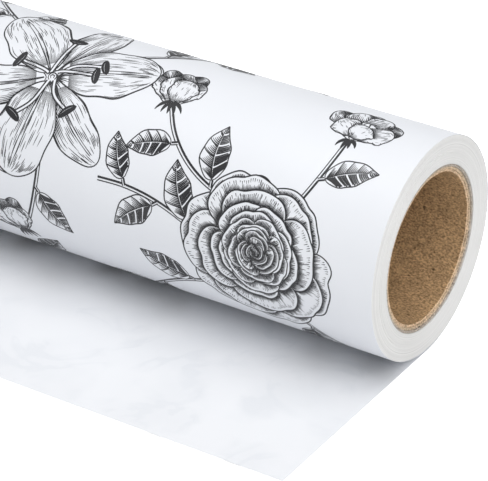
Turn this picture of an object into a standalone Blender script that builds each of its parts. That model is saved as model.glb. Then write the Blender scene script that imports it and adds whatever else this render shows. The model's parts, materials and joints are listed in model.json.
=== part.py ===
"""Wrapping paper roll: a printed web wound on a spiral paperboard core, its loose end lying flat in front.

The roll's axis runs along X. The loose end lies on the table towards -Y, and Z is up. The origin is the
bottom centre of the whole object's box.
"""
from math import cos, pi, sin

import bmesh
import bpy
from mathutils import Vector

# Driving dimensions, in metres.
WEB_WIDTH = 0.432          # length of the roll, which is the width of the paper web
ROLL_RADIUS = 0.028        # axis to the outside of the last turn, where the roll rests
TAIL_REACH = 0.065         # loose paper in front of the line that the roll rests on
PAPER = 0.0001             # thickness of the web
BORE_RADIUS = 0.01865      # inside of the core
PLY = 0.00045              # thickness of each of the core's board plies
CORE_RECESS = 0.0005       # how far the core stops short of the paper at each end
GLUE_THICKNESS = 0.0001
GLUE_WIDTH = 0.012         # measured round the core
GLUE_MARGIN = 0.020        # bare core at each end of the glue strip

# Clearances, in metres.
LAYER_GAP = 0.0003         # between layers that touch on the real roll
LAST_TURN_RISE = 0.0005    # how much further out the last turn ends than it starts
HINGE_GAP = 0.0003         # between neighbouring strips of the loose end

# Counts.
SEGMENTS = 64              # facets round the roll
GLUE_SEGMENTS = 6
TAIL_STRIPS = 8

# Layers of the roll, from the bore outwards, each as the radius of its outer face.
LINER_OUTER = BORE_RADIUS + PLY
BODY_PLY_OUTER = LINER_OUTER + LAYER_GAP + PLY
CORE_OUTER = BODY_PLY_OUTER + LAYER_GAP + PLY
GLUE_OUTER = CORE_OUTER + LAYER_GAP + GLUE_THICKNESS
FIRST_TURN_OUTER = GLUE_OUTER + LAYER_GAP + PAPER
LAST_TURN_START = ROLL_RADIUS - LAST_TURN_RISE
WOUND_OUTER = LAST_TURN_START - PAPER - LAYER_GAP
WOUND_THICKNESS = WOUND_OUTER - FIRST_TURN_OUTER - LAYER_GAP

# The lip under the roll is half as wide as a strip, so that curled strips lie evenly round the roll.
STRIP = TAIL_REACH / (TAIL_STRIPS + 0.5)
LIP = STRIP / 2

STEP = 2 * pi / SEGMENTS
CORE_LENGTH = WEB_WIDTH - 2 * CORE_RECESS
GLUE_LENGTH = CORE_LENGTH - 2 * GLUE_MARGIN

LINER_COLOUR = (0.330, 0.190, 0.095)
BODY_PLY_COLOUR = (0.420, 0.300, 0.200)
OUTER_PLY_COLOUR = (0.360, 0.290, 0.230)
GLUE_COLOUR = (0.700, 0.660, 0.500)
PAPER_COLOUR = (0.800, 0.810, 0.840)
BOARD_ROUGHNESS = 0.9
GLUE_ROUGHNESS = 0.5
PAPER_ROUGHNESS = 0.45


def clear_scene():
    """Remove every object, so that the file holds only this model."""
    for item in list(bpy.data.objects):
        bpy.data.objects.remove(item, do_unlink=True)


def make_material(name, colour, roughness):
    """Return a plain Principled material."""
    material = bpy.data.materials.new(name)
    material.use_nodes = True
    shader = material.node_tree.nodes["Principled BSDF"]
    shader.inputs["Base Color"].default_value = (*colour, 1.0)
    shader.inputs["Roughness"].default_value = roughness
    shader.inputs["Metallic"].default_value = 0.0
    return material


def on_roll(angle, face_radius):
    """Return the (y, z) corner of a facet, seen from the roll's axis.

    The angle starts straight down and turns towards the front. The facets lie at face_radius, and their
    corners a little further out.
    """
    corner_radius = face_radius / cos(STEP / 2)
    return -corner_radius * sin(angle), -corner_radius * cos(angle)


def ring_path(face_radius):
    """Return a closed path round the roll, with one facet flat at the bottom."""
    return [on_roll((index + 0.5) * STEP, face_radius) for index in range(SEGMENTS)]


def last_turn_path():
    """Return the outside of the last turn: a slow spiral that ends in the flat lip under the roll."""
    path = []
    for index in range(SEGMENTS):
        rise = LAST_TURN_RISE * index / (SEGMENTS - 1)
        path.append(on_roll((index + 0.5) * STEP, LAST_TURN_START + rise))
    path.append((-LIP + HINGE_GAP / 2, -ROLL_RADIUS))
    return path


def glue_path():
    """Return the outside of the glue strip, an arc at the top of the core."""
    half_angle = GLUE_WIDTH / GLUE_OUTER / 2
    path = []
    for index in range(GLUE_SEGMENTS + 1):
        angle = pi + half_angle * (2 * index / GLUE_SEGMENTS - 1)
        path.append((-GLUE_OUTER * sin(angle), -GLUE_OUTER * cos(angle)))
    return path


def make_sheet(name, path, closed, thickness, length, material, parent, location):
    """Draw a path across X, extrude it along X, and thicken it towards the object's origin."""
    shape = bmesh.new()
    verts = [shape.verts.new((-length / 2, y, z)) for y, z in path]
    edges = [shape.edges.new(pair) for pair in zip(verts, verts[1:])]
    if closed:
        edges.append(shape.edges.new((verts[-1], verts[0])))
    swept = bmesh.ops.extrude_edge_only(shape, edges=edges)["geom"]
    far_verts = [item for item in swept if isinstance(item, bmesh.types.BMVert)]
    bmesh.ops.translate(shape, verts=far_verts, vec=Vector((length, 0, 0)))
    bmesh.ops.recalc_face_normals(shape, faces=shape.faces)
    if sum(face.normal.dot(face.calc_center_median()) for face in shape.faces) < 0:
        bmesh.ops.reverse_faces(shape, faces=shape.faces)
    mesh = bpy.data.meshes.new(name)
    shape.to_mesh(mesh)
    shape.free()
    mesh.materials.append(material)
    mesh.shade_smooth()
    mesh.set_sharp_from_angle(angle=pi / 6)
    sheet = bpy.data.objects.new(name, mesh)
    bpy.context.collection.objects.link(sheet)
    sheet.parent = parent
    sheet.location = location
    wall = sheet.modifiers.new("wall", "SOLIDIFY")
    wall.thickness = thickness
    wall.offset = -1.0
    wall.use_even_offset = True
    return sheet


def make_roll_axis():
    """Return the empty on the roll's axis, placed so that the whole object's box is centred on the origin."""
    back_reach = max(y for y, _ in last_turn_path())
    axis = bpy.data.objects.new("roll_axis", None)
    bpy.context.collection.objects.link(axis)
    axis.location = (0.0, (TAIL_REACH - back_reach) / 2, ROLL_RADIUS)
    return axis


def make_core(axis):
    """Make the three board plies of the core."""
    plies = (
        ("core_liner_ply", LINER_OUTER, LINER_COLOUR),
        ("core_body_ply", BODY_PLY_OUTER, BODY_PLY_COLOUR),
        ("core_outer_ply", CORE_OUTER, OUTER_PLY_COLOUR),
    )
    for name, outer, colour in plies:
        material = make_material(name, colour, BOARD_ROUGHNESS)
        make_sheet(name, ring_path(outer), True, PLY, CORE_LENGTH, material, axis, (0, 0, 0))


def make_glue_strip(axis):
    """Make the line of glue that holds the web's first edge to the core."""
    material = make_material("start_glue_strip", GLUE_COLOUR, GLUE_ROUGHNESS)
    make_sheet("start_glue_strip", glue_path(), False, GLUE_THICKNESS, GLUE_LENGTH, material, axis, (0, 0, 0))


def make_wound_web(axis):
    """Make the wound paper: the glued first turn, the bulk of the roll, and the last turn with its lip."""
    layers = (
        ("first_turn", ring_path(FIRST_TURN_OUTER), True, PAPER),
        ("wound_turns", ring_path(WOUND_OUTER), True, WOUND_THICKNESS),
        ("outer_turn", last_turn_path(), False, PAPER),
    )
    for name, path, closed, thickness in layers:
        material = make_material(name, PAPER_COLOUR, PAPER_ROUGHNESS)
        make_sheet(name, path, closed, thickness, WEB_WIDTH, material, axis, (0, 0, 0))


def make_tail(axis):
    """Make the loose end as strips, each with its origin on its hinge and parented to the strip before it."""
    parent = axis
    hinge = (0, -LIP, PAPER - ROLL_RADIUS)
    for number in range(1, TAIL_STRIPS + 1):
        name = f"tail_strip_{number:02d}"
        end_gap = 0 if number == TAIL_STRIPS else HINGE_GAP / 2
        path = [(-HINGE_GAP / 2, -PAPER), (end_gap - STRIP, -PAPER)]
        material = make_material(name, PAPER_COLOUR, PAPER_ROUGHNESS)
        parent = make_sheet(name, path, False, PAPER, WEB_WIDTH, material, parent, hinge)
        hinge = (0, -STRIP, 0)


def main():
    """Build the whole roll."""
    clear_scene()
    axis = make_roll_axis()
    make_core(axis)
    make_glue_strip(axis)
    make_wound_web(axis)
    make_tail(axis)


main()
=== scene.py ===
"""Wrapping paper roll: the looks of a printed gift wrap roll, built around its fixed frame.

The web is made and printed flat, then rolled up. Across the web is X. Along the web starts under the front
of the roll, climbs the front, goes over the top and down the back, and runs out flat as the loose end.
"""

import json
import random
from math import atan2, ceil, cos, hypot, pi, radians, sin

import bmesh
import bpy
import numpy as np
from bpy.props import FloatProperty, FloatVectorProperty, IntProperty, PointerProperty
from bpy.types import Operator, Panel, PropertyGroup
from mathutils import Matrix, Vector, noise


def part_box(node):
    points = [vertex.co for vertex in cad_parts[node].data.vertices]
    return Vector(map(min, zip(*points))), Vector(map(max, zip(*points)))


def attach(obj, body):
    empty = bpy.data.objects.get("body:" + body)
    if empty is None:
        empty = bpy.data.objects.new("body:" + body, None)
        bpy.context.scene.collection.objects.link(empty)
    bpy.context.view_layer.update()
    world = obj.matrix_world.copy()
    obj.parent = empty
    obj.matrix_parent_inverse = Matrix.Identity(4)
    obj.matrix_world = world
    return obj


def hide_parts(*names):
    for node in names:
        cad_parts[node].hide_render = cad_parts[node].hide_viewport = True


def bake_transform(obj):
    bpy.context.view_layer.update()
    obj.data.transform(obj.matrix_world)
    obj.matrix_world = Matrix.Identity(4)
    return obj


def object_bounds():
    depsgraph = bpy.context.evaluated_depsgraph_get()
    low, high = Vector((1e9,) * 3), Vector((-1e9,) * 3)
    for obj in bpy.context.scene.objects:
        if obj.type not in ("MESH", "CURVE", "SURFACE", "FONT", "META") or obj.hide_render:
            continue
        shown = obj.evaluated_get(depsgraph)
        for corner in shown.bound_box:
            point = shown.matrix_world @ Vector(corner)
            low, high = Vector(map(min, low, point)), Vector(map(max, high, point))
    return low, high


bl_info = {
    "name": "Wrapping Paper Roll",
    "version": (1, 0, 0),
    "blender": (4, 5, 0),
    "location": "3D View > Sidebar > Gift Wrap",
    "description": "Dresses a wrapping paper roll with its core, wound web, print and loose end",
    "category": "Add Mesh",
}

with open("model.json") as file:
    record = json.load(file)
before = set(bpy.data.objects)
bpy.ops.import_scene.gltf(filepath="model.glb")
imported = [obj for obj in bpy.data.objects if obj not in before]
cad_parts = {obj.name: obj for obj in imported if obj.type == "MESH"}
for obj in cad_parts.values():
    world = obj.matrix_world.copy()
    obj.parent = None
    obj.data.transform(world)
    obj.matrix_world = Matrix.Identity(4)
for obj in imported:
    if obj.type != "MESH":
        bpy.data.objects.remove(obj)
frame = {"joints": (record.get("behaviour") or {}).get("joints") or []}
CAD_BOX = [list(corner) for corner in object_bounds()]

# Sizes that the frame fixes, in metres.
WOUND_LOW, WOUND_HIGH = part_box("wound_turns")
AXIS = (WOUND_LOW + WOUND_HIGH) / 2
HALF_WEB = WOUND_HIGH.x
ROLL_RADIUS = AXIS.z
MEAN_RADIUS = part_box("outer_turn")[1].z - AXIS.z
TURN_RISE = 2 * (ROLL_RADIUS - MEAN_RADIUS)
TURN_START = ROLL_RADIUS - TURN_RISE
TURN_LENGTH = 2 * pi * MEAN_RADIUS
CORE_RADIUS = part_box("core_outer_ply")[1].z - AXIS.z
HINGES = [Vector(joint["pos_m"]) for joint in frame["joints"]]
BODIES = ["roll"] + [joint["child"] for joint in frame["joints"]]
STRIP = HINGES[0].y - HINGES[1].y
TAIL_LENGTH = AXIS.y - CAD_BOX[0][1]
MM = 0.001
PRINT_DROP = 0.04 * MM      # the drawn sheet's print side lies this far inside the frame's outer surface
CAMERA_FROM_AXIS = (0.4899, -0.5154, 0.3648)


# ---------------------------------------------------------------- settings

class RollLook(PropertyGroup):
    """Sizes and colours of the core and the paper"""

    bore_radius: FloatProperty(
        name="Bore Radius", description="Inside of the core", default=18.65 * MM, unit="LENGTH")
    shown_web: FloatProperty(
        name="Web Thickness", description="Thickness of the modelled sheet", default=0.06 * MM, unit="LENGTH")
    leaf_groups: IntProperty(
        name="Leaf Groups", description="Rings that show on a wound end", default=34, min=4)
    round_steps: IntProperty(
        name="Round Steps", description="Facets round the roll", default=240, min=48)
    telescoping: FloatProperty(
        name="Telescoping", description="How far turns stand in or out at the ends",
        default=0.10 * MM, unit="LENGTH")
    paper: FloatVectorProperty(
        name="Paper", description="Coated print side", default=(0.80, 0.815, 0.85), subtype="COLOR")
    back: FloatVectorProperty(
        name="Back", description="Uncoated back of the web", default=(0.82, 0.83, 0.855), subtype="COLOR")
    edge: FloatVectorProperty(
        name="Edge", description="Cut edges of the wound web", default=(0.80, 0.795, 0.785), subtype="COLOR")
    board: FloatVectorProperty(
        name="Board", description="Brown paperboard of the bore", default=(0.43, 0.28, 0.148),
        subtype="COLOR")
    liner_edge: FloatVectorProperty(
        name="Liner Edge", description="Cut edge of the innermost ply", default=(0.60, 0.43, 0.28),
        subtype="COLOR")
    body_edge: FloatVectorProperty(
        name="Body Edge", description="Cut edge of the middle ply", default=(0.52, 0.40, 0.28),
        subtype="COLOR")
    glue: FloatVectorProperty(
        name="Glue", description="Dried glue under the first turn", default=(0.70, 0.66, 0.50),
        subtype="COLOR")
    wrap_edge: FloatVectorProperty(
        name="Wrap Edge", description="Cut edge of the outer ply", default=(0.40, 0.35, 0.30),
        subtype="COLOR")


class PrintLook(PropertyGroup):
    """Sizes and colours of the print"""

    repeat_across: FloatProperty(
        name="Repeat Across", description="Width of the print's repeat", default=144 * MM, unit="LENGTH")
    repeat_along: FloatProperty(
        name="Repeat Along", description="Length of the print's repeat", default=121 * MM, unit="LENGTH")
    ink_lift: FloatProperty(
        name="Ink Lift", description="Height of the ink above the paper", default=0.03 * MM, unit="LENGTH")
    ink: FloatVectorProperty(
        name="Ink", description="Colour of the line work", default=(0.022, 0.022, 0.025), subtype="COLOR")
    ghost: FloatVectorProperty(
        name="Show-through", description="Print seen faintly through the back",
        default=(0.765, 0.78, 0.81), subtype="COLOR")


class StageLook(PropertyGroup):
    """Camera, floor and lights"""

    azimuth: FloatProperty(
        name="Azimuth", description="Camera's side", default=radians(32.28), subtype="ANGLE")
    elevation: FloatProperty(
        name="Elevation", description="Camera's height above the horizon", default=radians(29.91),
        subtype="ANGLE")
    tilt: FloatProperty(name="Tilt", description="Camera's roll", default=radians(0.43), subtype="ANGLE")
    lens: FloatProperty(name="Lens", description="Focal length in millimetres", default=212.6)
    key_power: FloatProperty(name="Key", description="Overhead light", default=13.4, unit="POWER")
    fill_power: FloatProperty(name="Fill", description="Side light", default=13.0, unit="POWER")
    sky: FloatProperty(name="Sky", description="Strength of the plain white surroundings", default=0.41)


# ---------------------------------------------------------------- materials

def new_material(name, roughness, colour=(0.8, 0.8, 0.8), specular=0.5):
    """Return a material's node tree and shader, with its constant values set."""
    material = bpy.data.materials.new(name)
    material.use_nodes = True
    shader = material.node_tree.nodes["Principled BSDF"]
    shader.inputs["Base Color"].default_value = (*colour, 1)
    shader.inputs["Roughness"].default_value = roughness
    shader.inputs["Specular IOR Level"].default_value = specular
    return material, material.node_tree, shader


def put(tree, kind, sockets=None, **settings):
    """Add a node, set its options, and set or link its inputs."""
    node = tree.nodes.new(kind)
    for option, value in settings.items():
        setattr(node, option, value)
    for socket, value in (sockets or {}).items():
        if isinstance(value, bpy.types.NodeSocket):
            tree.links.new(value, node.inputs[socket])
        else:
            node.inputs[socket].default_value = value
    return node


def start_group(name, inputs, outputs):
    """Return a new node group's tree with its input and output nodes."""
    group = bpy.data.node_groups.new(name, "ShaderNodeTree")
    for label, kind, value in inputs:
        socket = group.interface.new_socket(label, in_out="INPUT", socket_type=kind)
        if value is not None:
            socket.default_value = value
    for label, kind in outputs:
        group.interface.new_socket(label, in_out="OUTPUT", socket_type=kind)
    return group, group.nodes.new("NodeGroupInput"), group.nodes.new("NodeGroupOutput")


def math_node(tree, operation, *values, **settings):
    """Add a maths node and return its result."""
    return put(tree, "ShaderNodeMath", dict(enumerate(values)), operation=operation, **settings).outputs[0]


def noise_node(tree, vector, scale, detail, **sockets):
    """Add a noise texture and return its value."""
    places = {"Vector": vector, "Scale": scale, "Detail": detail, **sockets}
    return put(tree, "ShaderNodeTexNoise", places).outputs["Fac"]


def remap(tree, value, low, high, new_low, new_high):
    """Add a node that maps one range of values to another, and return its result."""
    places = {"Value": value, "From Min": low, "From Max": high, "To Min": new_low, "To Max": new_high}
    return put(tree, "ShaderNodeMapRange", places).outputs[0]


def scaled_colour(tree, colour, factor):
    """Add a node that makes a colour lighter or darker, and return its result."""
    return put(tree, "ShaderNodeVectorMath", {0: colour, "Scale": factor}, operation="SCALE").outputs[0]


def paper_grain_group():
    """Fine fibre and broad mottle for any sheet: a tinted colour and a height."""
    group, given, result = start_group(
        "Paper Grain",
        [("Vector", "NodeSocketVector", None), ("Colour", "NodeSocketColor", (0.8, 0.8, 0.8, 1)),
         ("Mottle", "NodeSocketFloat", 0.03)],
        [("Colour", "NodeSocketColor"), ("Height", "NodeSocketFloat")])
    fibre = noise_node(group, given.outputs["Vector"], 900.0, 3.0)
    cloud = noise_node(group, given.outputs["Vector"], 60.0, 4.0)
    spread = math_node(group, "SUBTRACT", cloud, 0.5)
    amount = math_node(group, "MULTIPLY", spread, given.outputs["Mottle"])
    factor = math_node(group, "ADD", amount, 1.0)
    tint = scaled_colour(group, given.outputs["Colour"], factor)
    group.links.new(tint, result.inputs["Colour"])
    group.links.new(fibre, result.inputs["Height"])
    return group


def board_fibre_group():
    """Kraft fibres and specks for the paperboard: a colour and a height."""
    group, given, result = start_group(
        "Board Fibre",
        [("Vector", "NodeSocketVector", None), ("Colour", "NodeSocketColor", (0.4, 0.3, 0.2, 1))],
        [("Colour", "NodeSocketColor"), ("Height", "NodeSocketFloat")])
    stretch = put(
        group, "ShaderNodeMapping",
        {"Vector": given.outputs["Vector"], "Rotation": (0.0, 0.0, 0.5), "Scale": (1.0, 1.5, 1.5)})
    fibre = noise_node(group, stretch.outputs[0], 1700.0, 5.0)
    cloud = noise_node(group, given.outputs["Vector"], 260.0, 3.0)
    spread = remap(group, fibre, 0.34, 0.66, 0.52, 1.52)
    drift = remap(group, cloud, 0.3, 0.7, 0.88, 1.12)
    speck = noise_node(group, given.outputs["Vector"], 620.0, 1.0)
    dark = remap(group, speck, 0.72, 0.76, 1.0, 0.4)
    shade = math_node(group, "MULTIPLY", spread, drift)
    factor = math_node(group, "MULTIPLY", shade, dark)
    tint = scaled_colour(group, given.outputs["Colour"], factor)
    group.links.new(tint, result.inputs["Colour"])
    group.links.new(fibre, result.inputs["Height"])
    return group


def use_group(tree, shader, group, vector, colour, bump, distance, **extra):
    """Place a surface group in a material and join it to the shader."""
    effect = put(tree, "ShaderNodeGroup", node_tree=group)
    tree.links.new(vector, effect.inputs["Vector"])
    effect.inputs["Colour"].default_value = (*colour, 1)
    for label, value in extra.items():
        effect.inputs[label].default_value = value
    relief = put(
        tree, "ShaderNodeBump",
        {"Strength": bump, "Distance": distance, "Height": effect.outputs["Height"]})
    tree.links.new(effect.outputs["Colour"], shader.inputs["Base Color"])
    tree.links.new(relief.outputs[0], shader.inputs["Normal"])
    return effect


def sheet_material(name, colour, roughness, group):
    """Paper whose grain follows the web's own UV map."""
    material, tree, shader = new_material(name, roughness)
    place = put(tree, "ShaderNodeUVMap", uv_map="Web")
    use_group(tree, shader, group, place.outputs[0], colour, 0.08, 0.02 * MM, Mottle=0.05)
    return material


def show_through_group():
    """The print seen faintly through the sheet: soft veins and patches as a mask."""
    group, given, result = start_group(
        "Show-through", [("Vector", "NodeSocketVector", None)], [("Mask", "NodeSocketFloat")])
    warp = noise_node(group, given.outputs["Vector"], 34.0, 3.0, Distortion=1.6)
    away = math_node(group, "ABSOLUTE", math_node(group, "SUBTRACT", warp, 0.5))
    vein = remap(group, away, 0.0, 0.05, 1.0, 0.0)
    patch = noise_node(group, given.outputs["Vector"], 55.0, 2.0)
    fade = remap(group, patch, 0.42, 0.62, 0.0, 1.0)
    broken = math_node(group, "MULTIPLY", vein, fade)
    soft = math_node(group, "MULTIPLY", fade, 0.45)
    mask = math_node(group, "ADD", broken, soft, use_clamp=True)
    group.links.new(mask, result.inputs["Mask"])
    return group


def back_material(name, colour, ghost, grain):
    """The plain back of the web, with the print showing through a little."""
    material = sheet_material(name, colour, 0.55, grain)
    tree = material.node_tree
    place = put(tree, "ShaderNodeUVMap", uv_map="Web")
    veins = put(tree, "ShaderNodeGroup", node_tree=show_through_group())
    tree.links.new(place.outputs[0], veins.inputs["Vector"])
    socket = tree.nodes["Principled BSDF"].inputs["Base Color"]
    plain = socket.links[0].from_socket
    both = put(tree, "ShaderNodeMix", data_type="RGBA")
    tree.links.new(veins.outputs["Mask"], both.inputs["Factor"])
    tree.links.new(plain, both.inputs["A"])
    both.inputs["B"].default_value = (*ghost, 1)
    tree.links.new(both.outputs["Result"], socket)
    return material


def board_material(name, colour, group):
    """Brown paperboard, read in the roll's own place."""
    material, tree, shader = new_material(name, 0.92, specular=0.25)
    place = put(tree, "ShaderNodeTexCoord")
    use_group(tree, shader, group, place.outputs["Object"], colour, 0.6, 0.12 * MM)
    return material


def glue_material(name, colour):
    """Dried glue: uneven in gloss, with small bubbles."""
    material, tree, shader = new_material(name, 0.4, colour, specular=0.4)
    place = put(tree, "ShaderNodeTexCoord")
    pools = noise_node(tree, place.outputs["Object"], 300.0, 3.0)
    gloss = remap(tree, pools, 0.3, 0.7, 0.25, 0.6)
    bubbles = put(tree, "ShaderNodeTexVoronoi", {"Vector": place.outputs["Object"], "Scale": 900.0})
    relief = put(
        tree, "ShaderNodeBump",
        {"Strength": 0.3, "Distance": 0.01 * MM, "Height": bubbles.outputs["Distance"]})
    tree.links.new(gloss, shader.inputs["Roughness"])
    tree.links.new(relief.outputs[0], shader.inputs["Normal"])
    return material


def edge_material(name, colour, group):
    """Cut edges of the wound web: fine rings of slightly different tone about the roll's axis."""
    material, tree, shader = new_material(name, 0.7, specular=0.3)
    place = put(tree, "ShaderNodeTexCoord")
    centred = put(
        tree, "ShaderNodeMapping",
        {"Vector": place.outputs["Object"], "Location": (0, -AXIS.y, -AXIS.z), "Scale": (0, 1, 1)})
    radius = put(tree, "ShaderNodeVectorMath", {0: centred.outputs[0]}, operation="LENGTH")
    spread = put(tree, "ShaderNodeCombineXYZ", {"X": radius.outputs["Value"]})
    rings = noise_node(tree, spread.outputs[0], 3600.0, 3.0)
    tone = remap(tree, rings, 0.3, 0.7, 0.80, 1.08)
    effect = use_group(tree, shader, group, place.outputs["Object"], colour, 0.1, 0.02 * MM, Mottle=0.10)
    tree.links.new(scaled_colour(tree, effect.outputs["Colour"], tone), shader.inputs["Base Color"])
    return material


def ink_material(name, colour, roughness):
    """Ink that thins a little here and there."""
    material, tree, shader = new_material(name, roughness)
    place = put(tree, "ShaderNodeUVMap", uv_map="Web")
    cloud = noise_node(tree, place.outputs[0], 700.0, 2.0)
    tone = remap(tree, cloud, 0.3, 0.7, 0.9, 1.15)
    tree.links.new(scaled_colour(tree, tuple(colour), tone), shader.inputs["Base Color"])
    return material


# ---------------------------------------------------------------- shapes

def finish_piece(name, shape, material, smooth_angle=pi / 6):
    """Turn a bmesh into a linked object with one material."""
    mesh = bpy.data.meshes.new(name)
    shape.to_mesh(mesh)
    shape.free()
    mesh.materials.append(material)
    mesh.shade_smooth()
    mesh.set_sharp_from_angle(angle=smooth_angle)
    piece = bpy.data.objects.new(name, mesh)
    bpy.context.scene.collection.objects.link(piece)
    return piece


def rolled(across, along, height):
    """Return where a point of the flat web lies, height above its print side, once the web is rolled up."""
    if along >= TURN_LENGTH:
        return Vector((across, AXIS.y - (along - TURN_LENGTH), -height))
    angle = along / MEAN_RADIUS
    radius = TURN_START + TURN_RISE * angle / (2 * pi) + height
    return Vector((across, AXIS.y - radius * sin(angle), AXIS.z - radius * cos(angle)))


def roll_up(shape):
    """Give a flat mesh its web UV map, and move it to its place on the roll."""
    web = shape.loops.layers.uv.new("Web")
    for face in shape.faces:
        for loop in face.loops:
            loop[web].uv = loop.vert.co.xy
    for vert in shape.verts:
        vert.co = rolled(*vert.co)


def flat_web(start, end, thickness, print_side):
    """Return a flat sheet of the web between two places along it, with its print side at the given height."""
    shape = bmesh.new()
    steps = max(8, round((end - start) / (0.7 * MM)))
    verts = bmesh.ops.create_grid(shape, x_segments=24, y_segments=steps, size=1)["verts"]
    for vert in verts:
        vert.co.x *= HALF_WEB
        vert.co.y = start + (vert.co.y + 1) / 2 * (end - start)
        vert.co.z = print_side
    lower = bmesh.ops.extrude_face_region(shape, geom=shape.faces[:])["geom"]
    moved = [item for item in lower if isinstance(item, bmesh.types.BMVert)]
    bmesh.ops.translate(shape, verts=moved, vec=(0, 0, -thickness))
    bmesh.ops.recalc_face_normals(shape, faces=shape.faces)
    return shape


def spun(profile, steps):
    """Turn a closed profile of (across, radius) corners once round the roll's axis."""
    shape = bmesh.new()
    verts = [shape.verts.new((x, AXIS.y, AXIS.z - radius)) for x, radius in profile]
    edges = [shape.edges.new(pair) for pair in zip(verts, verts[1:] + verts[:1])]
    bmesh.ops.spin(
        shape, geom=verts + edges, cent=AXIS, axis=(1, 0, 0), angle=2 * pi, steps=steps, use_merge=True)
    bmesh.ops.recalc_face_normals(shape, faces=shape.faces)
    return shape


def place_of(vert):
    """Return a point's angle, from straight down towards the front, and its radius from the roll's axis."""
    y, z = vert.co.y - AXIS.y, vert.co.z - AXIS.z
    return atan2(-y, -z) % (2 * pi), hypot(y, z)


def move_to(vert, angle, radius):
    """Move a point to an angle and radius about the roll's axis."""
    vert.co.y = AXIS.y - radius * sin(angle)
    vert.co.z = AXIS.z - radius * cos(angle)


def ply_profile(inner, outer, reach, round_off):
    """Return the closed profile of one ply, with its corners taken off."""
    corners = [(reach, inner + round_off), (reach, outer - round_off), (reach - round_off, outer)]
    mirrored = [(-x, radius) for x, radius in reversed(corners)]
    return [(reach - round_off, inner)] + corners + mirrored + [(round_off - reach, inner)]


def wound_profile(inner, outer, groups, telescoping):
    """Return the closed profile of the wound web, with a shallow groove between its leaf groups."""
    chance = random.Random(11)
    pitch = (outer - inner) / groups
    ends = []
    for _side in range(2):
        end = []
        for index in range(groups):
            out = HALF_WEB - telescoping * chance.random() ** 2
            low = inner + index * pitch
            end += [(out - 0.05 * MM, low), (out, low + 0.2 * pitch), (out, low + 0.8 * pitch)]
        end.append((HALF_WEB - telescoping, outer))
        ends.append(end)
    return ends[0] + [(-x, radius) for x, radius in reversed(ends[1])]


# ---------------------------------------------------------------- line work, in millimetres on the flat web

SAMPLE = 0.22       # spacing of the points that test what a line passes behind
SEGMENT = 0.9       # length of one face of a line
SHORTEST = 0.25     # lines shorter than this are left out


def inside(points, corners):
    """Say which points lie inside a closed outline."""
    x, y = points[:, :1], points[:, 1:]
    ax, ay = corners[:, 0], corners[:, 1]
    bx, by = np.roll(ax, -1), np.roll(ay, -1)
    crosses = (ay > y) != (by > y)
    rise = np.where(by == ay, 1e-9, by - ay)
    return ((crosses & (x < ax + (y - ay) * (bx - ax) / rise)).sum(1) % 2) == 1


def spaced(points):
    """Return a path's points at an even small spacing."""
    path = np.asarray(points, float)
    reach = np.concatenate(([0], np.cumsum(np.hypot(*np.diff(path, axis=0).T))))
    steps = np.linspace(0, reach[-1], int(reach[-1] / SAMPLE) + 3)
    return np.column_stack([np.interp(steps, reach, path[:, axis]) for axis in (0, 1)])


class Pen:
    """Draws tapered ink lines, nearest shape first: later lines stop at the shapes already covered."""

    def __init__(self):
        self.page = bmesh.new()
        self.sheet = bmesh.new()
        self.covers = []
        self.chance = random.Random(5)

    def cover(self, outline):
        """Hide whatever is drawn later behind this outline."""
        corners = np.array(outline)
        self.covers.append((corners.min(0), corners.max(0), corners))

    def hidden(self, points):
        """Say which points lie behind a covered shape."""
        found = np.zeros(len(points), bool)
        low, high = points.min(0), points.max(0)
        for cover_low, cover_high, corners in self.covers:
            if (low < cover_high).all() and (high > cover_low).all():
                found |= inside(points, corners)
        return found

    def line(self, points, start, middle, end):
        """Draw what shows of a line through these points, with its width at three places."""
        fine = spaced(points)
        shown = ~self.hidden(fine)
        share = np.linspace(0, 1, len(fine))
        breaks = np.flatnonzero(np.diff(np.concatenate(([0], shown, [0]))))
        for first, last in zip(breaks[::2], breaks[1::2]):
            self.ribbon(fine[first:last], np.interp(share[first:last], (0, 0.5, 1), (start, middle, end)))

    def fringe(self, points, length, start, end=0.06):
        """Draw a stroke that begins where this line comes out from behind the shapes in front."""
        fine = spaced(points)
        shown = np.flatnonzero(~self.hidden(fine))
        if len(shown):
            run = fine[shown[0]:shown[0] + 2 + int(length / SAMPLE)]
            crowded = 0.4 + 0.6 * min(1, shown[0] / len(fine) / 0.3)
            self.ribbon(run, np.linspace(crowded * start, end, len(run)))

    def ribbon(self, path, widths):
        """Lay one strip of faces along a path."""
        length = np.hypot(*np.diff(path, axis=0).T).sum()
        if length < SHORTEST:
            return
        segments = ceil(length / SEGMENT)
        picks = np.linspace(0, len(path) - 1, segments + 1).round().astype(int)
        run = np.gradient(path, axis=0)[picks]
        run /= np.maximum(np.hypot(run[:, 0], run[:, 1]), 1e-9)[:, None]
        left = np.column_stack((-run[:, 1], run[:, 0])) * (widths[picks] / 2)[:, None]
        places = np.vstack((path[picks] - left, path[picks] + left))
        verts = bmesh.ops.create_grid(self.sheet, x_segments=segments, y_segments=1, size=1)["verts"]
        for vert, (x, y) in zip(verts, places):
            vert.co = (x, y, 0)
        if len(self.sheet.verts) > 3000:
            self.turn_over()

    def turn_over(self):
        """Add what is drawn so far to the page."""
        mesh = bpy.data.meshes.new("drawn")
        self.sheet.to_mesh(mesh)
        self.sheet.free()
        self.page.from_mesh(mesh)
        bpy.data.meshes.remove(mesh)
        self.sheet = bmesh.new()


ROUNDED = (1 - np.cos(np.linspace(0, pi, 34))) / 2


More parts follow.
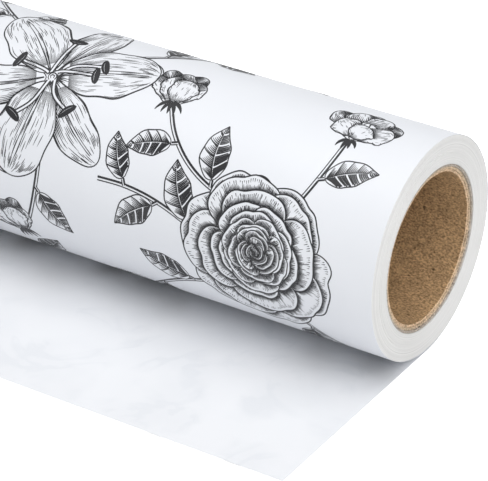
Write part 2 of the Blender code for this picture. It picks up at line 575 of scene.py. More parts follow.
class Blade:
    """A leaf or petal laid flat: a bent spine with a width on each side. Side runs from -1 to 1."""

    def __init__(self, base, tip, bend, width, belly=0.45, blunt=0.9, ruffle=0.0, waves=3.0, point=None):
        self.base, self.tip = np.array(base, float), np.array(tip, float)
        span = self.tip - self.base
        self.length = hypot(*span)
        self.knee = (self.base + self.tip) / 2 + np.array((-span[1], span[0])) / self.length * bend
        self.width, self.blunt = width, blunt
        self.point = blunt if point is None else point
        self.skew = np.log(0.5) / np.log(belly)
        self.ruffle, self.waves = ruffle, waves

    def at(self, side, along):
        """Return the points at these sides and shares of the length."""
        side, along = np.broadcast_arrays(np.asarray(side, float), np.asarray(along, float))
        t = along[:, None]
        spine = (1 - t) ** 2 * self.base + 2 * t * (1 - t) * self.knee + t ** 2 * self.tip
        run = 2 * (1 - t) * (self.knee - self.base) + 2 * t * (self.tip - self.knee)
        run /= np.linalg.norm(run, axis=1, keepdims=True)
        taper = self.blunt + (self.point - self.blunt) * along
        swell = self.width * np.maximum(np.sin(pi * np.clip(along, 0, 1) ** self.skew), 0) ** taper
        swell = swell * (1 + self.ruffle * np.sin(2 * pi * self.waves * along + 2 * np.sign(side)))
        return spine + np.column_stack((-run[:, 1], run[:, 0])) * (side * swell)[:, None]

    def outline(self):
        """Return the closed edge."""
        return np.vstack((self.at(1, ROUNDED), self.at(-1, ROUNDED[::-1])))

    def draw_edge(self, pen, weight, heavy=0):
        """Draw both sides of the edge. The heavy side, 1 or -1, is thicker."""
        for side in (1, -1):
            thick = weight * (1.45 if side == heavy else 1)
            pen.line(self.at(side, ROUNDED), 0.7 * thick, thick, 0.8 * thick)


def draw_leaf(pen, base, tip, bend, width, dark):
    """Draw a leaf with a pale midrib and hatched halves. The dark side is 1 for left and -1 for right."""
    veins = 5
    leaf = Blade(base, tip, bend, width, belly=0.42, blunt=0.62, point=1.05, ruffle=0.05, waves=2.6)
    steps = np.linspace(0, 1, 6)
    count = max(8, int(leaf.length / 0.42))
    rib = 0.16 / width
    for side in (1, -1):
        heavy = side == dark
        for index in range(1, count):
            start = index / count
            sector = start * veins % 1.0
            if heavy and sector < 0.8 * veins / count and index > 2:
                continue
            if heavy:
                reach, ink, end = pen.chance.uniform(0.84, 0.99), 0.38, 0.26
            else:
                reach = 0.30 + 0.70 * (1 - sector) ** 1.1 * pen.chance.uniform(0.8, 1.1)
                ink, end = 0.36, 0.09
            sides = side * (rib + (min(reach, 0.98) - rib) * steps)
            along = start + (0.04 + 0.15 * (1 - start)) * steps ** 1.3 * reach
            pen.line(leaf.at(sides, np.minimum(along, 0.99)), ink, (ink + end) / 2, end)
        if not heavy:
            for vein in range(1, veins):
                start = vein / veins
                along = np.minimum(start + (0.04 + 0.15 * (1 - start)) * steps ** 1.3, 0.99)
                pen.line(leaf.at(side * (rib + (0.97 - rib) * steps), along), 0.36, 0.30, 0.20)
    pen.line(leaf.at(-dark * rib, np.linspace(0, 0.8, 10)), 0.3, 0.26, 0.2)
    leaf.draw_edge(pen, 0.34)
    pen.cover(leaf.outline())


def smooth_path(knots):
    """Return a smooth curve through a few points."""
    steps = 8
    points = [2 * np.array(knots[0]) - np.array(knots[1])] + [np.array(knot, float) for knot in knots]
    points.append(2 * points[-1] - points[-2])
    path = []
    for a, b, c, d in zip(points, points[1:], points[2:], points[3:]):
        for t in np.arange(steps) / steps:
            path.append(0.5 * (2 * b + (c - a) * t + (2 * a - 5 * b + 4 * c - d) * t ** 2
                               + (3 * b - a - 3 * c + d) * t ** 3))
    path.append(points[-2])
    return np.array(path)


def draw_stem(pen, knots, half=0.45, ink=0.28, shaded=True):
    """Draw a round stalk: two edges, and a run of shade along its lower side."""
    path = smooth_path(knots)
    run = np.gradient(path, axis=0)
    run /= np.hypot(run[:, 0], run[:, 1])[:, None]
    left = np.column_stack((-run[:, 1], run[:, 0])) * half
    pen.line(path + left, ink, ink, ink)
    pen.line(path - left, 1.2 * ink, 1.2 * ink, 1.2 * ink)
    if shaded:
        pen.line(path - 0.4 * left, 0.7 * ink, 0.9 * ink, 0.7 * ink)
    pen.cover(np.vstack((path + left, (path - left)[::-1])))


class Cup:
    """A rose petal seen from above: an edge curving round the heart. Turn runs from -1 to 1 along it."""

    def __init__(self, pen, heart, facing, spread, radius, tuck, lean, frill):
        self.heart, self.facing, self.spread = heart, facing, spread
        self.radius, self.tuck, self.lean, self.frill = radius, tuck, lean, frill
        self.phase = 6.3 * pen.chance.random()
        self.notch = pen.chance.uniform(-0.35, 0.35)

    def reach(self, turn):
        """Return the edge's distance from the heart."""
        round_off = (1 - np.minimum(np.abs(turn), 1) ** 3.2) ** 0.45
        wave = np.sin(5.0 * turn + self.phase) + 0.45 * np.sin(11.0 * turn + 2 * self.phase)
        notch = np.exp(-((turn - self.notch) / 0.13) ** 2)
        return self.radius * (self.tuck + (1 - self.tuck) * round_off * (1 + self.lean * turn)
                              + self.frill * (0.6 * wave - 1.1 * notch) * round_off)

    def spot(self, turn, radius):
        """Return the points at these turns and distances."""
        angle = self.facing + self.spread * turn
        return self.heart + np.column_stack((np.cos(angle), np.sin(angle))) * radius[:, None]


def draw_cup(pen, cup, rim, shade, weight, ink):
    """Draw one rose petal: its edge, a dark fringe where it comes from under others, and ticks."""
    chance = pen.chance
    turns = np.sin(np.linspace(-pi / 2, pi / 2, 48))
    edge = cup.spot(turns, cup.reach(turns))
    pen.line(edge, 0.8 * weight, weight, 0.8 * weight)
    width = 2 * cup.spread * cup.radius
    count = max(8, int(width / 0.40))
    for turn in np.linspace(-0.96, 0.96, count):
        out = float(cup.reach(np.array(turn))) - rim * (1 - 0.5 * abs(turn))
        if out < 0.3:
            continue
        ray = cup.spot(np.full(2, turn), np.array((0.05, out)))
        deep = shade * chance.uniform(0.4, 1.0) * (1.6 if chance.random() < 0.2 else 1.0)
        pen.fringe(ray, deep * (0.8 + 0.7 * abs(turn) ** 2), *ink)
    if rim > 0.5:
        for turn in np.linspace(-0.9, 0.9, int(width / 0.62)):
            if chance.random() < 0.78:
                out = float(cup.reach(np.array(turn)))
                start = out - chance.uniform(0.75, 1.05)
                pen.line(cup.spot(np.full(2, turn), np.array((start, start - chance.uniform(0.45, 1.2)))),
                         0.19, 0.16, 0.06)
    elif rim > 0.2:
        span = turns[6:-6]
        pen.line(cup.spot(span, cup.reach(span) - rim), 0.08, 0.22, 0.08)
    pen.cover(np.vstack((edge, [cup.heart])))


# Each ring of a rose: share of the radius, petals, half spread of each in radians, how far its ends tuck in,
# how much it spirals, rim, length of its shade, drift of its middle.
ROSE_RINGS = (
    (0.060, 2, 1.50, 0.50, 0.40, 0.36, 2.5, (0.0, 0.0)),
    (0.115, 2, 1.35, 0.50, 0.46, 0.46, 2.5, (0.2, 0.2)),
    (0.175, 3, 1.05, 0.56, 0.44, 0.50, 2.5, (0.3, 0.2)),
    (0.235, 3, 1.10, 0.58, 0.42, 0.52, 2.3, (0.5, 0.1)),
    (0.295, 3, 1.10, 0.62, 0.38, 0.56, 2.2, (0.6, 0.0)),
    (0.360, 4, 0.88, 0.66, 0.32, 0.62, 2.1, (0.6, -0.1)),
    (0.430, 4, 0.86, 0.68, 0.26, 0.72, 2.0, (0.5, -0.2)),
    (0.500, 4, 0.88, 0.68, 0.18, 0.85, 2.0, (0.4, -0.3)),
    (0.575, 5, 0.72, 0.66, 0.12, 1.00, 1.8, (0.2, -0.5)),
    (0.770, 4, 0.84, 0.48, 0.08, 0.80, 2.2, (0.0, -0.9)),
    (0.900, 5, 0.70, 0.56, 0.06, 0.80, 2.0, (0.0, -1.2)),
    (1.000, 6, 0.60, 0.66, 0.05, 0.80, 1.8, (0.0, -1.4)),
)


def draw_rose(pen, heart, radius, turn):
    """Draw an open rose from above, from its heart outwards."""
    chance = pen.chance
    scale = radius / 21.5
    facing = turn
    for share, petals, spread, tuck, spiral, rim, shade, drift in ROSE_RINGS:
        middle = heart + np.array(drift) * scale
        for index in range(petals):
            angle = facing + 2 * pi * index / petals + chance.uniform(-0.16, 0.16)
            size = radius * share * chance.uniform(0.94, 1.05)
            frill = 0.035 if share < 0.5 else 0.028
            lean = spiral * chance.uniform(0.5, 1.3)
            cup = Cup(pen, middle, angle, spread * chance.uniform(0.9, 1.1), size, tuck, lean, frill)
            inner = share < 0.5
            draw_cup(pen, cup, rim * scale, shade * scale, 0.30 if inner else 0.36,
                     (0.33, 0.15) if inner else (0.33, 0.06))
        facing += 2.4


def draw_petal(pen, base, tip, bend, width, belly=0.5, blunt=0.72, ruffle=0.05, shade=1.0, heavy=0,
               rib=True, streaks=0.62, root=0.10, hairs=0.75, point=None):
    """Draw a petal: a double midrib, long shading lines, a dark root and a ticked edge."""
    petal = Blade(base, tip, bend, width, belly, blunt, ruffle, 2.4, point)
    chance = pen.chance
    if rib:
        for side in (0.06, -0.06):
            pen.line(petal.at(side, np.linspace(0.02, 0.9, 12)), 0.30, 0.26, 0.14)
    for side in np.linspace(-0.95, 0.95, max(5, int(2 * width / 0.42))):
        path = petal.at(side, np.linspace(root, 0.97, 16))
        pen.fringe(path, shade * petal.length * chance.uniform(0.08, 0.28), 0.33)
        for low, high in ((0.12, 0.40), (0.45, 0.70)):
            if chance.random() < streaks:
                start = chance.uniform(low, high)
                along = np.linspace(start, start + chance.uniform(0.08, 0.24), 6)
                pen.line(petal.at(side, along), 0.08, 0.22, 0.06)
        if chance.random() < 0.7:
            start = chance.uniform(0.74, 0.86)
            pen.line(petal.at(side * 0.94, np.linspace(start, start + chance.uniform(0.06, 0.13), 4)),
                     0.08, 0.20, 0.10)
    for side in (1, -1):
        for start in np.arange(0.10, 0.92, 0.50 / petal.length):
            if chance.random() < hairs:
                sides = side * np.linspace(0.96, chance.uniform(0.70, 0.84), 3)
                pen.line(petal.at(sides, start - np.linspace(0, 0.03, 3)), 0.20, 0.16, 0.06)
    petal.draw_edge(pen, 0.36, heavy)
    pen.cover(petal.outline())


def draw_anther(pen, middle, turn):
    """Draw a dark pollen-covered anther."""
    reach = np.array((cos(turn), sin(turn))) * 2.6
    anther = Blade(middle - reach, middle + reach, 0.6, 0.9, belly=0.5, blunt=0.45)
    for side in (-0.8, -0.5, -0.2, 0.1, 0.7):
        pen.line(anther.at(side, np.linspace(0.03, 0.97, 8)), 0.34, 0.46, 0.34)
    anther.draw_edge(pen, 0.36)
    pen.cover(anther.outline())


def towards(angle):
    """Return the direction at an angle."""
    return np.array((cos(angle), sin(angle)))


def draw_lily(pen, heart, reach, turn):
    """Draw a lily facing out: six anthers, then three broad petals in front of three slender ones."""
    middles = []
    for index in range(6):
        angle = turn + 1.3 * index
        middles.append(heart + reach * (0.42 + 0.08 * (index % 2)) * towards(angle))
        draw_anther(pen, middles[-1], angle + pi / 2)
    turns = np.linspace(-0.6, 4.4, 16)
    for radius in (0.575, 1.15):
        pen.line(heart + np.column_stack((np.cos(turns), np.sin(turns))) * radius, 0.3, 0.36, 0.2)
    pen.cover(heart + np.column_stack((np.cos(turns), np.sin(turns))) * 1.3)
    for index, middle in enumerate(middles):
        root = heart + np.array((0.55 * index - 1.6, 0.25 * index - 0.2))
        knee = root + (middle - root) * (0.30, 0.62)
        draw_stem(pen, (root, knee, middle), half=0.46, ink=0.34, shaded=False)
    for angle in np.linspace(-1.9, 1.45, 26):
        end = pen.chance.uniform(3.0, 6.0) * (1.15 - 0.3 * abs(angle))
        pen.line((heart + 1.5 * towards(angle), heart + end * towards(angle)), 0.40, 0.26, 0.06)
    for index in range(6):
        broad = index < 3
        out = towards(turn + 2 * pi * index / 3 + (0 if broad else pi / 3))
        draw_petal(pen, heart + 0.06 * reach * out, heart + reach * out, 0.08 * reach * (-1) ** index,
                   reach * (0.30 if broad else 0.20), belly=0.55, blunt=0.45, heavy=-1 if broad else 0,
                   hairs=0.0)


def draw_blossom(pen, heart, radius, squash, turn, petals):
    """Draw a small open flower: a dotted eye and blunt petals."""
    squash = np.array(squash)
    chance = pen.chance
    for _dot in range(22):
        angle, reach = chance.uniform(0, 2 * pi), radius * 0.24 * chance.random() ** 0.5
        spot = heart + towards(angle) * reach * squash
        pen.line((spot, spot + (0.3, 0.12)), 0.28, 0.34, 0.28)
    turns = np.linspace(0, 2 * pi, 19)[:-1]
    reach = radius * (0.20 + 0.05 * np.sin(9 * turns))
    ring = np.column_stack((np.cos(turns), np.sin(turns))) * reach[:, None]
    pen.cover(heart + ring * squash)
    for index in range(petals):
        angle = turn + 2 * pi * index / petals + chance.uniform(-0.15, 0.15)
        out = towards(angle) * squash
        size = radius * chance.uniform(0.9, 1.08)
        width = size * 0.46 * (0.55 + 0.45 * hypot(*(out[::-1] * squash)))
        bend = chance.uniform(-1, 1) * 0.14 * size
        draw_petal(pen, heart + out * size * 0.02, heart + out * size, bend, width, belly=0.64, blunt=0.48,
                   ruffle=0.09, shade=1.25, rib=False, streaks=0.35, root=0.02)


def sideways(span):
    """Return the direction a quarter turn to the left of a span."""
    return np.array((-span[1], span[0])) / hypot(*span)


def fan_petals(pen, base, span, width, petals, root=0.1, curl=0.3, **style):
    """Draw petals fanned from a base. Each has a lean, a share of the span and a share of the width."""
    side = sideways(span) * width
    for lean, share, wide in petals:
        tip = base + span * share + side * lean
        draw_petal(pen, base + side * root * lean, tip, -curl * width * lean, width * wide, rib=False,
                   **style)


def draw_cupped(pen, base, tip, width):
    """Draw a flower from its side: petals fanned up from a calyx, the middle ones in front."""
    petals = [(lean, 1 - 0.30 * abs(lean) ** 1.5, 0.50 - 0.12 * abs(lean)) for lean in (0, -0.5, 0.5, -1, 1)]
    fan_petals(pen, base, tip - base, width, petals, curl=0.22, belly=0.62, blunt=0.55, point=0.8,
               ruffle=0.08, shade=1.2, streaks=0.5, hairs=0.4)


def draw_open(pen, base, tip, width):
    """Draw an open flower from its side: short petals in front, a tuft of stamens, and tall petals behind."""
    span = tip - base
    side = sideways(span)
    chance = pen.chance
    fan_petals(pen, base, span, width, ((-0.18, 0.50, 0.40), (0.75, 0.42, 0.40), (-0.95, 0.46, 0.38)),
               belly=0.66, blunt=0.5, ruffle=0.09, shade=1.0, streaks=0.3, hairs=0.5)
    middle = base + 0.50 * span
    for _stamen in range(26):
        spot = middle + side * width * chance.uniform(-0.38, 0.38) + span * chance.uniform(-0.10, 0.16)
        pen.line((spot, spot + span * 0.05 + side * chance.uniform(-0.2, 0.2)), 0.30, 0.40, 0.30)
    turns = np.linspace(0, 2 * pi, 15)[:-1]
    tuft = np.outer(np.cos(turns) * 0.34 * width, side) + np.outer(np.sin(turns) * 0.12, span)
    pen.cover(middle + tuft)
    fan_petals(pen, base, span, width,
               ((-0.42, 0.98, 0.42), (0.50, 0.96, 0.44), (-1.0, 0.72, 0.36), (1.08, 0.66, 0.36),
                (0.05, 1.04, 0.40)),
               belly=0.70, blunt=0.5, ruffle=0.09, shade=1.1, streaks=0.3, hairs=0.5)


def draw_calyx(pen, base, out, spikes=4, size=3.4):
    """Draw the pointed green leaves behind a flower."""
    out = np.array(out) / hypot(*out)
    side = sideways(out)
    for index in range(spikes):
        lean = (index - (spikes - 1) / 2) / (spikes / 2)
        reach = out * size * pen.chance.uniform(0.8, 1.1) * (1 - 0.25 * abs(lean)) + side * size * 0.95 * lean
        thorn = Blade(base, base + reach, 1.6 * lean, 0.44, belly=0.30)
        for edge in (-0.45, 0.1, 0.5):
            pen.line(thorn.at(edge, np.linspace(0, 0.92, 6)), 0.34, 0.28, 0.08)
        thorn.draw_edge(pen, 0.24)
        pen.cover(thorn.outline())


def draw_bud(pen, base, tip, width):
    """Draw a half-open bud: a spiked calyx, and round petals folded over one another."""
    span = tip - base
    draw_calyx(pen, base + 0.06 * span, -span, 5, 0.42 * hypot(*span))
    folds = ((-0.30, 0.74, 0.52), (0.42, 0.80, 0.46), (-0.85, 0.62, 0.40), (0.98, 0.66, 0.36),
             (0.05, 1.0, 0.46), (-0.62, 0.98, 0.42), (0.72, 1.02, 0.40))
    fan_petals(pen, base, span, width, folds, root=0.26, curl=0.35, belly=0.62, blunt=0.42, ruffle=0.08,
               shade=1.1, streaks=0.4, hairs=0.4)


def draw_sprig(pen, base, tip, bend, leaves, leaf=14.0):
    """Draw a curved stem with leaves on alternate sides, smaller towards its tip."""
    span = tip - base
    run, side = span / hypot(*span), sideways(span)

    def along(share):
        return base + share * span + 4 * bend * share * (1 - share) * side

    stalks = []
    for index in range(leaves):
        share = (index + 0.75) / (leaves + 0.5)
        hand = 1 if index % 2 else -1
        out = 0.62 * run + 0.78 * hand * side
        length = leaf * (1.1 - 0.35 * share)
        root = along(share)
        start, end = root + 1.8 * out, root + (1.8 + length) * out
        draw_leaf(pen, start, end, -0.12 * hand * length, 0.27 * length, hand)
        stalks.append((root, root + 2.2 * out))
    for stalk in stalks:
        draw_stem(pen, stalk, half=0.35)
    draw_stem(pen, [along(share) for share in np.linspace(0, 1, 6)])


def draw_repeat(wide, long):
    """Draw one repeat of the print, its right edge on X = 0. Places are shares of its width and length."""
    pen = Pen()

    def at(left, up):
        return np.array((-wide * left, long * up))

    draw_lily(pen, at(0.68, 0.60), 27.0, 0.35)
    for place, radius, turn in ((at(0.22, 0.38), 21.0, 0.6), (at(0.90, 0.14), 12.5, 2.0)):
        draw_rose(pen, place, radius, turn)
    draw_calyx(pen, at(0.13, 0.66), (0.1, -1.0))
    draw_open(pen, at(0.13, 0.66), at(0.12, 0.76), 9.0)
    draw_blossom(pen, at(0.40, 0.90), 10.0, (1.0, 0.9), 0.3, petals=6)
    draw_blossom(pen, at(0.50, 0.10), 9.5, (1.0, 1.0), 1.0, petals=5)
    draw_bud(pen, at(0.45, 0.62), at(0.46, 0.71), 7.5)
    draw_bud(pen, at(0.70, 0.23), at(0.73, 0.31), 7.0)
    draw_calyx(pen, at(0.94, 0.86), (0.3, -1.0))
    draw_cupped(pen, at(0.94, 0.86), at(0.96, 0.95), 7.5)
    sprigs = (
        (at(0.24, 0.46), at(0.45, 0.62), 5.0, 2), (at(0.18, 0.46), at(0.13, 0.66), -2.0, 1),
        (at(0.27, 0.28), at(0.47, 0.13), -4.0, 2), (at(0.18, 0.28), at(0.05, 0.05), 3.0, 2),
        (at(0.66, 0.66), at(0.44, 0.89), -4.0, 3), (at(0.71, 0.67), at(0.94, 0.86), 4.0, 3),
        (at(0.66, 0.52), at(0.70, 0.23), 4.0, 3), (at(0.78, 0.58), at(0.96, 0.42), -3.0, 3),
        (at(0.89, 0.18), at(0.82, 0.38), 2.0, 2), (at(0.38, 0.89), at(0.06, 0.92), 5.0, 4),
        (at(0.86, 0.12), at(0.55, 0.09), 4.0, 3), (at(0.30, 0.36), at(0.53, 0.43), -3.0, 3))
    for sprig in sprigs:
        draw_sprig(pen, *sprig)
    pen.turn_over()
    return pen.page


# ---------------------------------------------------------------- pieces


def dress_tail(piece, index):
    """Leave a piece of the tail fixed where it lies, or attach it to the last strip when there is no further
    hinge.
    """
    if index < len(HINGES):
        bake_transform(piece)
    else:
        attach(piece, BODIES[-1])


class GIFTWRAP_OT_core(Operator):
    """Build the three plies of the paperboard core"""
    bl_idname = "giftwrap.core"
    bl_label = "Core"

    def execute(self, context):
        look = context.scene.roll_look
        fibre = board_fibre_group()
        bore = board_material("bore_board", look.board, fibre)
        step = (CORE_RADIUS - look.bore_radius) / 3
        gap = 0.02 * MM
        plies = (
            ("core_liner", "core_liner_ply", 0.74, look.liner_edge),
            ("core_body", "core_body_ply", 0.50, look.body_edge),
            ("core_wrap", "core_outer_ply", 0.25, look.wrap_edge))
        for index, (name, node, recess, colour) in enumerate(plies):
            edge = board_material(f"cut_{name}", colour, fibre)
            inner = look.bore_radius + index * step + (gap if index else 0)
            outer = look.bore_radius + (index + 1) * step
            reach = HALF_WEB - recess * MM
            shape = spun(ply_profile(inner, outer, reach, 0.08 * MM), look.round_steps)
            for vert in shape.verts:
                angle, radius = place_of(vert)
                swirl = Vector((3 * cos(angle), 3 * sin(angle), 4 * (vert.co.x > 0)))
                fade = (CORE_RADIUS - radius) / (CORE_RADIUS - look.bore_radius)
                ragged = noise.noise(swirl * 11) + 0.6 * noise.noise(swirl * 29)
                move_to(vert, angle, radius + 0.10 * MM * fade * ragged)
                swirl.z += index
                vert.co.x += 0.12 * MM * noise.noise(swirl) + 0.07 * MM * noise.noise(swirl * 14)
            piece = finish_piece(name, shape, edge)
            piece.data.materials.append(bore)
            if index == 0:
                for face in piece.data.polygons:
                    if abs(face.normal.x) < 0.3:
                        face.material_index = 1
            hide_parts(node)
            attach(piece, "roll")
        return {"FINISHED"}


class GIFTWRAP_OT_glue(Operator):
    """Build the film of glue that holds the first turn to the core"""
    bl_idname = "giftwrap.glue"
    bl_label = "Start Glue"

    def execute(self, context):
        low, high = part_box("start_glue_strip")
        half_angle = (high.y - low.y) / 2 / CORE_RADIUS
        shape = bmesh.new()
        verts = bmesh.ops.create_grid(shape, x_segments=40, y_segments=16, size=1)["verts"]
        for vert in verts:
            wander = 0.06 * noise.noise((vert.co.x * 30, vert.co.y * 4, 0))
            angle = pi + half_angle * vert.co.y * (1 + wander)
            vert.co.x *= high.x
            move_to(vert, angle, CORE_RADIUS + 0.004 * MM)
        lower = bmesh.ops.extrude_face_region(shape, geom=shape.faces[:])["geom"]
        for vert in [item for item in lower if isinstance(item, bmesh.types.BMVert)]:
            move_to(vert, place_of(vert)[0], CORE_RADIUS + 0.014 * MM)
        bmesh.ops.recalc_face_normals(shape, faces=shape.faces)
        piece = finish_piece("start_glue", shape, glue_material("dried_glue", context.scene.roll_look.glue))
        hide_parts("start_glue_strip")
        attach(piece, "roll")
        return {"FINISHED"}


class GIFTWRAP_OT_web(Operator):
    """Build the wound turns and the first turn glued to the core"""
    bl_idname = "giftwrap.web"
    bl_label = "Wound Web"

    def execute(self, context):
        look = context.scene.roll_look
        material = edge_material("wound_edges", look.edge, paper_grain_group())
        inner, outer = CORE_RADIUS + 0.14 * MM, TURN_START - 0.115 * MM
        shape = spun(wound_profile(inner, outer, look.leaf_groups, look.telescoping), look.round_steps)
        wedge = radians(16)
        for vert in shape.verts:
            angle, radius = place_of(vert)
            share = (radius - inner) / (outer - inner)
            rise = angle if angle < 2 * pi - wedge else (2 * pi - angle) * (2 * pi - wedge) / wedge
            move_to(vert, angle, radius + share * TURN_RISE * rise / (2 * pi))
        piece = finish_piece("wound_web", shape, material, radians(20))
        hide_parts("wound_turns")
        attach(piece, "roll")
        profile = ply_profile(CORE_RADIUS + 0.02 * MM, CORE_RADIUS + 0.12 * MM, HALF_WEB - 0.06 * MM, 0.02 * MM)
        first = finish_piece("first_wrap", spun(profile, look.round_steps), material)
        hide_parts("first_turn")
        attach(first, "roll")
        return {"FINISHED"}


class GIFTWRAP_OT_turn(Operator):
    """Build the outermost turn of the printed web"""
    bl_idname = "giftwrap.turn"
    bl_label = "Outermost Turn"

    def execute(self, context):
        look = context.scene.roll_look
        shape = flat_web(0, TURN_LENGTH - 1e-7, look.shown_web, -PRINT_DROP)
        roll_up(shape)
        material = sheet_material("paper_front", look.paper, 0.42, bpy.data.node_groups["Paper Grain"])
        piece = finish_piece("printed_turn", shape, material)
        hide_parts("outer_turn")
        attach(piece, "roll")
        return {"FINISHED"}


class GIFTWRAP_OT_tail(Operator):
    """Build the loose end, one strip's length at a time"""
    bl_idname = "giftwrap.tail"
    bl_label = "Loose End"

    def execute(self, context):
        look = context.scene.roll_look
        group = bpy.data.node_groups["Paper Grain"]
        back = back_material("paper_back", look.back, context.scene.print_look.ghost, group)
        for index in range(len(HINGES) + 1):
            start = TURN_LENGTH + index * STRIP
            end = min(start + STRIP, TURN_LENGTH + TAIL_LENGTH)
            shape = flat_web(start, end, look.shown_web, -PRINT_DROP)
            roll_up(shape)
            name = f"tail_bend_{index + 1:02d}" if index < len(HINGES) else "tail_end"
            piece = finish_piece(name, shape, back)
            if index < len(HINGES):
                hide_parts(f"tail_strip_{index + 1:02d}")
            dress_tail(piece, index)
        return {"FINISHED"}


TURN_PIECES = 4


def cut_off(shape, place, out):
    """Cut a flat drawing along a line and keep the side away from the given direction."""
    bmesh.ops.bisect_plane(
        shape, geom=shape.verts[:] + shape.edges[:] + shape.faces[:], dist=1e-7, plane_co=place, plane_no=out,
        clear_outer=True)


def lay_out(repeat, look, length):
    """Repeat the drawing over the whole web, and trim it at the web's edges."""
    whole = bmesh.new()
    mesh = bpy.data.meshes.new("laid_out")
    for column in range(ceil(2 * HALF_WEB / look.repeat_across) + 1):
        for row in range(ceil(length / look.repeat_along) + 1):
            part = repeat.copy()
            offset = (HALF_WEB - column * look.repeat_across, row * look.repeat_along, 0)
            bmesh.ops.translate(part, verts=part.verts, vec=offset)
            for place, out in (((HALF_WEB, 0, 0), (1, 0, 0)), ((-HALF_WEB, 0, 0), (-1, 0, 0)),
                               ((0, 0, 0), (0, -1, 0)), ((0, length, 0), (0, 1, 0))):
                if any((vert.co - Vector(place)).dot(Vector(out)) > 0 for vert in part.verts):
                    cut_off(part, place, out)
            part.to_mesh(mesh)
            part.free()
            whole.from_mesh(mesh)
    repeat.free()
    bpy.data.meshes.remove(mesh)
    return whole


class GIFTWRAP_OT_ink(Operator):
    """Draw the print, repeat it over the web, and roll it up with the paper"""
    bl_idname = "giftwrap.ink"
    bl_label = "Print"

    def execute(self, context):
        look = context.scene.print_look
        lift = look.ink_lift - PRINT_DROP
        ink = ink_material("print_ink", look.ink, 0.4)
        repeat = draw_repeat(look.repeat_across / MM, look.repeat_along / MM)
        bmesh.ops.scale(repeat, verts=repeat.verts, vec=(MM, MM, MM))
        marks = [TURN_LENGTH * share / TURN_PIECES for share in range(TURN_PIECES)]
        marks += [TURN_LENGTH + index * STRIP for index in range(len(HINGES) + 1)]
        marks.append(TURN_LENGTH + TAIL_LENGTH)
        printed = lay_out(repeat, look, marks[-1])
        for number in reversed(range(len(marks) - 1)):
            flat = printed.copy()
            cut_off(flat, (0, marks[number], 0), (0, -1, 0))
            cut_off(printed, (0, marks[number], 0), (0, 1, 0))
            index = number - TURN_PIECES
            bmesh.ops.translate(flat, verts=flat.verts, vec=(0, 0, lift))
            roll_up(flat)
            part = f"turn_{number + 1}" if index < 0 else f"tail_{index + 1:02d}"
            piece = finish_piece(f"ink_{part}", flat, ink)
            if index < 0:
                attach(piece, "roll")
            else:
                dress_tail(piece, index)
        printed.free()
        return {"FINISHED"}


def add_light(name, kind, place, aim, power, **settings):
    """Add a light aimed at a point."""
    light = bpy.data.lights.new(name, kind)
    light.energy = power
    for option, value in settings.items():
        setattr(light, option, value)
    lamp = bpy.data.objects.new(name, light)
    lamp.location = place
    lamp.rotation_euler = (Vector(aim) - Vector(place)).to_track_quat("-Z", "Y").to_euler()
    lamp.visible_camera = False
    bpy.context.scene.collection.objects.link(lamp)
    return lamp


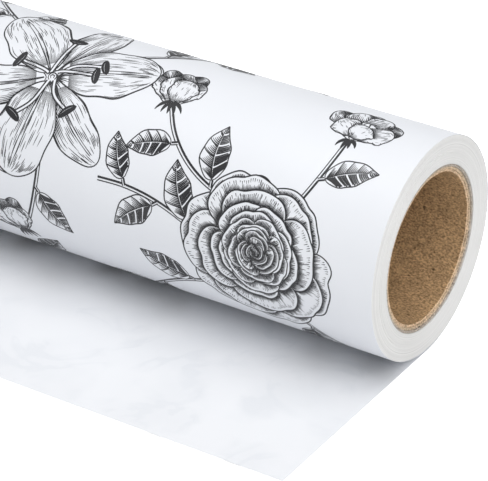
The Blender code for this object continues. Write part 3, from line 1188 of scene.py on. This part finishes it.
class GIFTWRAP_OT_stage(Operator):
    """Set the camera, the white floor and the soft lights"""
    bl_idname = "giftwrap.stage"
    bl_label = "Stage"

    def execute(self, context):
        look = context.scene.stage_look
        scene = context.scene
        camera = bpy.data.objects.new("camera", bpy.data.cameras.new("camera"))
        camera.data.lens = look.lens
        camera.data.clip_end = 60
        back = Vector((sin(look.azimuth) * cos(look.elevation), -cos(look.azimuth) * cos(look.elevation),
                       sin(look.elevation)))
        right = Vector((0, 0, 1)).cross(back).normalized()
        up = back.cross(right)
        turned = Matrix((cos(look.tilt) * right + sin(look.tilt) * up,
                         -sin(look.tilt) * right + cos(look.tilt) * up, back)).transposed()
        place = Vector(CAMERA_FROM_AXIS) + Vector((0, AXIS.y, 0))
        camera.matrix_world = Matrix.Translation(place) @ turned.to_4x4()
        scene.collection.objects.link(camera)
        scene.camera = camera

        shape = bmesh.new()
        bmesh.ops.create_grid(shape, x_segments=1, y_segments=1, size=20)
        bmesh.ops.translate(shape, verts=shape.verts, vec=(0, 0, -0.5 * MM))
        material, tree, shader = new_material("floor_white", 0.9, (0.9, 0.9, 0.9), specular=0.0)
        shader.inputs["Emission Color"].default_value = (1, 1, 1, 1)
        seen = put(tree, "ShaderNodeLightPath")
        glow = remap(tree, seen.outputs["Is Camera Ray"], 0.0, 1.0, 0.15, 1.0)
        tree.links.new(glow, shader.inputs["Emission Strength"])
        floor = finish_piece("floor", shape, material)

        key = add_light("key", "AREA", (0.1, -0.08, 1.5), (0, 0, 0), look.key_power, shape="RECTANGLE",
                        size=1.6, size_y=1.15)
        fill = add_light("fill", "AREA", (1.3, -0.6, 1.3), (0, 0, 0), look.fill_power, shape="RECTANGLE",
                         size=1.4, size_y=1.0)
        world = bpy.data.worlds.new("surroundings")
        world.use_nodes = True
        sky = world.node_tree.nodes["Background"]
        sky.inputs["Color"].default_value = (0.97, 0.985, 1.0, 1)
        seen = put(world.node_tree, "ShaderNodeLightPath")
        level = remap(world.node_tree, seen.outputs["Is Camera Ray"], 0.0, 1.0, look.sky, 1.1)
        world.node_tree.links.new(level, sky.inputs["Strength"])
        scene.world = world
        scene.view_settings.view_transform = "Standard"
        return {"FINISHED"}


OPERATORS = (
    GIFTWRAP_OT_core, GIFTWRAP_OT_glue, GIFTWRAP_OT_web, GIFTWRAP_OT_turn, GIFTWRAP_OT_tail,
    GIFTWRAP_OT_ink, GIFTWRAP_OT_stage)


class GIFTWRAP_PT_panel(Panel):
    """List the sizes, the colours and the steps of the build"""
    bl_idname = "GIFTWRAP_PT_panel"
    bl_label = "Wrapping Paper Roll"
    bl_space_type = "VIEW_3D"
    bl_region_type = "UI"
    bl_category = "Gift Wrap"

    def draw(self, context):
        for group in (context.scene.roll_look, context.scene.print_look, context.scene.stage_look):
            box = self.layout.box()
            for name in group.__annotations__:
                box.prop(group, name)
        column = self.layout.column()
        for operator in OPERATORS:
            column.operator(operator.bl_idname)


CLASSES = (RollLook, PrintLook, StageLook) + OPERATORS + (GIFTWRAP_PT_panel,)


def register():
    for item in CLASSES:
        bpy.utils.register_class(item)
    bpy.types.Scene.roll_look = PointerProperty(type=RollLook)
    bpy.types.Scene.print_look = PointerProperty(type=PrintLook)
    bpy.types.Scene.stage_look = PointerProperty(type=StageLook)


def unregister():
    for name in ("roll_look", "print_look", "stage_look"):
        delattr(bpy.types.Scene, name)
    for item in reversed(CLASSES):
        bpy.utils.unregister_class(item)


def main():
    register()
    bpy.ops.giftwrap.core()
    bpy.ops.giftwrap.glue()
    bpy.ops.giftwrap.web()
    bpy.ops.giftwrap.turn()
    bpy.ops.giftwrap.tail()
    bpy.ops.giftwrap.ink()
    bpy.ops.giftwrap.stage()


if __name__ == "__main__":
    main()
